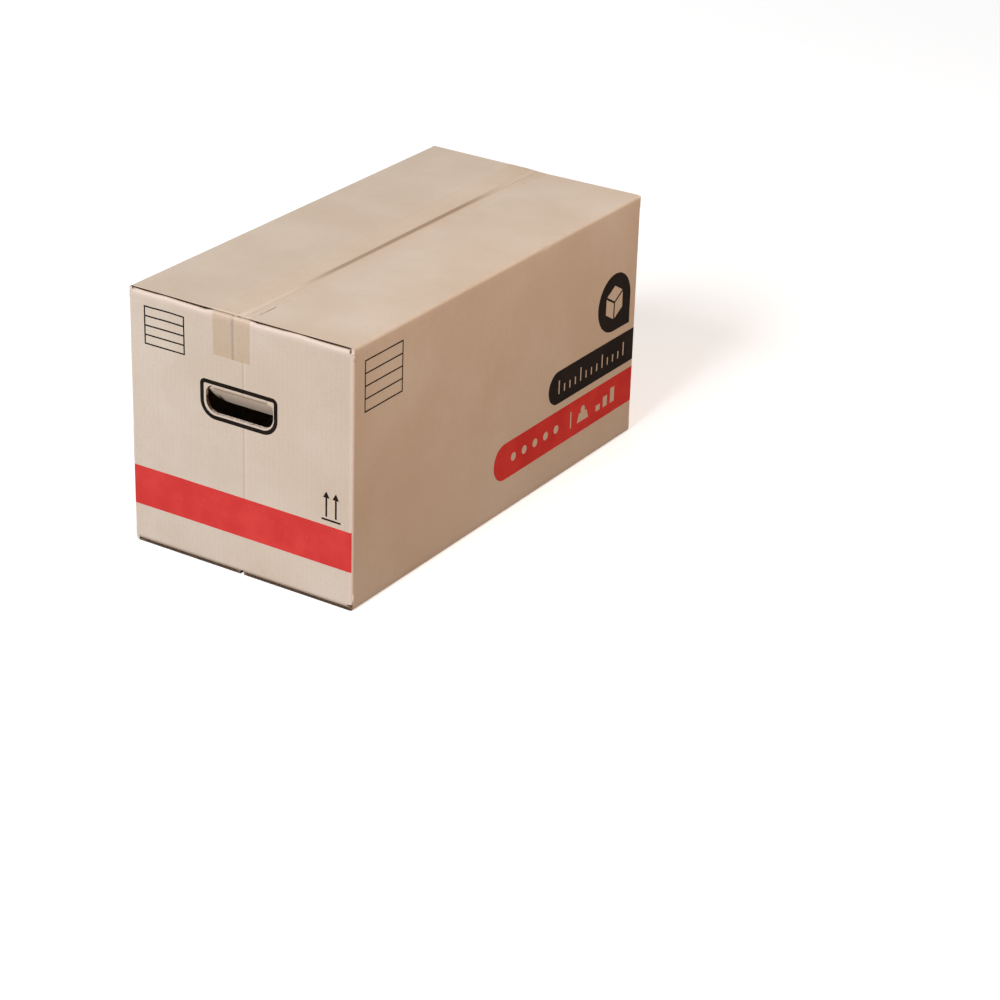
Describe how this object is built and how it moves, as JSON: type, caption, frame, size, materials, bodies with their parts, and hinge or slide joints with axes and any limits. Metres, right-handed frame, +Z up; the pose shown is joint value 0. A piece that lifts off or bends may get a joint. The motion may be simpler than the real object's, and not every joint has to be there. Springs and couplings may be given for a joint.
{
  "type": "moving box",
  "caption": "Rectangular slotted carton of double-wall corrugated board, folded up and taped shut, with a hand hole in each end and plain printed bands.",
  "frame": {"origin": "on the floor under the middle of the box", "axes": "+Z up, +Y along the box's length from the front end to the rear end, +X across it towards the right side"},
  "size_m": [0.3082, 0.6082, 0.3168],
  "materials": {
    "kraft_board": "matte",
    "packing_tape": "satin",
    "red_ink": "matte",
    "black_ink": "matte"
  },
  "bodies": {
    "root": {"box_blank": "kraft_board", "top_tape": "packing_tape", "bottom_tape": "packing_tape", "front_band": "red_ink", "rear_band": "red_ink", "front_hand_hole_outline": "black_ink", "rear_hand_hole_outline": "black_ink", "front_writing_panel": "black_ink", "rear_writing_panel": "black_ink", "front_up_arrow_left": "black_ink", "rear_up_arrow_left": "black_ink", "front_up_arrow_right": "black_ink", "rear_up_arrow_right": "black_ink", "front_arrow_bar": "black_ink", "rear_arrow_bar": "black_ink", "right_writing_panel": "black_ink", "left_writing_panel": "black_ink", "right_badge": "black_ink", "left_badge": "black_ink", "right_black_band": "black_ink", "left_black_band": "black_ink", "right_red_band": "red_ink", "left_red_band": "red_ink"}
  },
  "joints": []
}
